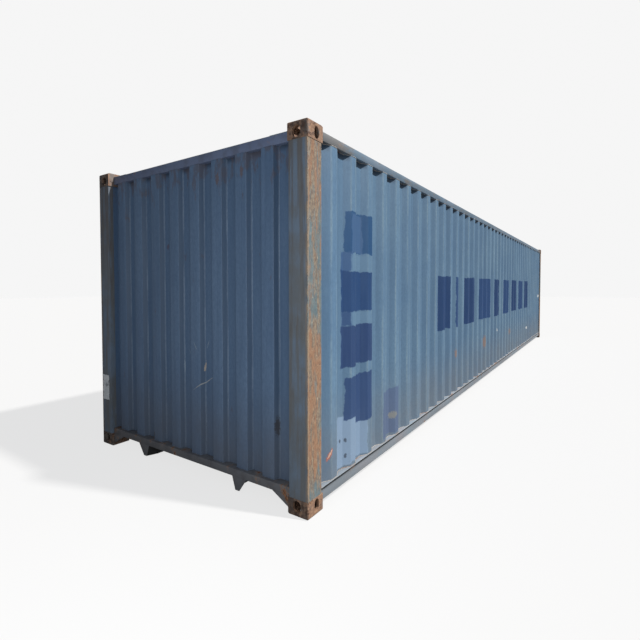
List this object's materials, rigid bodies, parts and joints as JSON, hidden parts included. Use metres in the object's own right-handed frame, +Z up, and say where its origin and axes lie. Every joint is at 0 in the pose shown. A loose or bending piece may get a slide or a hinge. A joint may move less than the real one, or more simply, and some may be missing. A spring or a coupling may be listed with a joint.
{
  "type": "shipping container",
  "caption": "Forty foot steel dry freight container with corrugated walls, corner castings, gooseneck tunnel and closed double doors.",
  "frame": {"origin": "middle of the footprint, on the level plane under the four bottom corner castings", "axes": "+X along the length towards the door end, +Y towards the left side seen facing the doors, +Z up"},
  "size_m": [12.192, 2.438, 2.591],
  "materials": {
    "casting": "rusted paint over cast steel",
    "post": "worn paint with rust",
    "side_panel": "chalky faded blue paint",
    "end_panel": "chalky faded blue paint",
    "roof_panel": "weathered blue paint",
    "frame": "weathered blue-grey paint",
    "underframe": "dull black bituminous underseal",
    "door_gear": "worn galvanised and painted steel",
    "gasket": "matt black rubber",
    "plywood": "sealed hardwood plywood"
  },
  "bodies": {
    "root": {"bar_brackets": "door_gear", "bottom_rail_left": "frame", "bottom_rail_right": "frame", "cam_keepers": "door_gear", "casting_front_bottom_left": "casting", "casting_front_bottom_right": "casting", "casting_front_top_left": "casting", "casting_front_top_right": "casting", "casting_rear_bottom_left": "casting", "casting_rear_bottom_right": "casting", "casting_rear_top_left": "casting", "casting_rear_top_right": "casting", "cross_members": "underframe", "door_frame_left": "frame", "door_frame_right": "frame", "door_gaskets": "gasket", "door_handles": "door_gear", "door_panel_left": "side_panel", "door_panel_right": "side_panel", "floor": "plywood", "front_header": "frame", "front_post_left": "post", "front_post_right": "post", "front_sill": "frame", "front_wall": "end_panel", "hinge_blades": "door_gear", "hinge_lugs": "door_gear", "lock_bars": "door_gear", "lock_cams": "door_gear", "rear_header": "frame", "rear_post_left": "post", "rear_post_right": "post", "rear_sill": "frame", "roof": "roof_panel", "roof_corner_plates": "roof_panel", "side_wall_left": "side_panel", "side_wall_right": "side_panel", "sill_gussets": "frame", "top_rail_left": "frame", "top_rail_right": "frame", "tunnel_bows": "underframe", "tunnel_flares": "frame", "tunnel_roof": "underframe", "tunnel_side_left": "underframe", "tunnel_side_right": "underframe"}
  },
  "joints": []
}
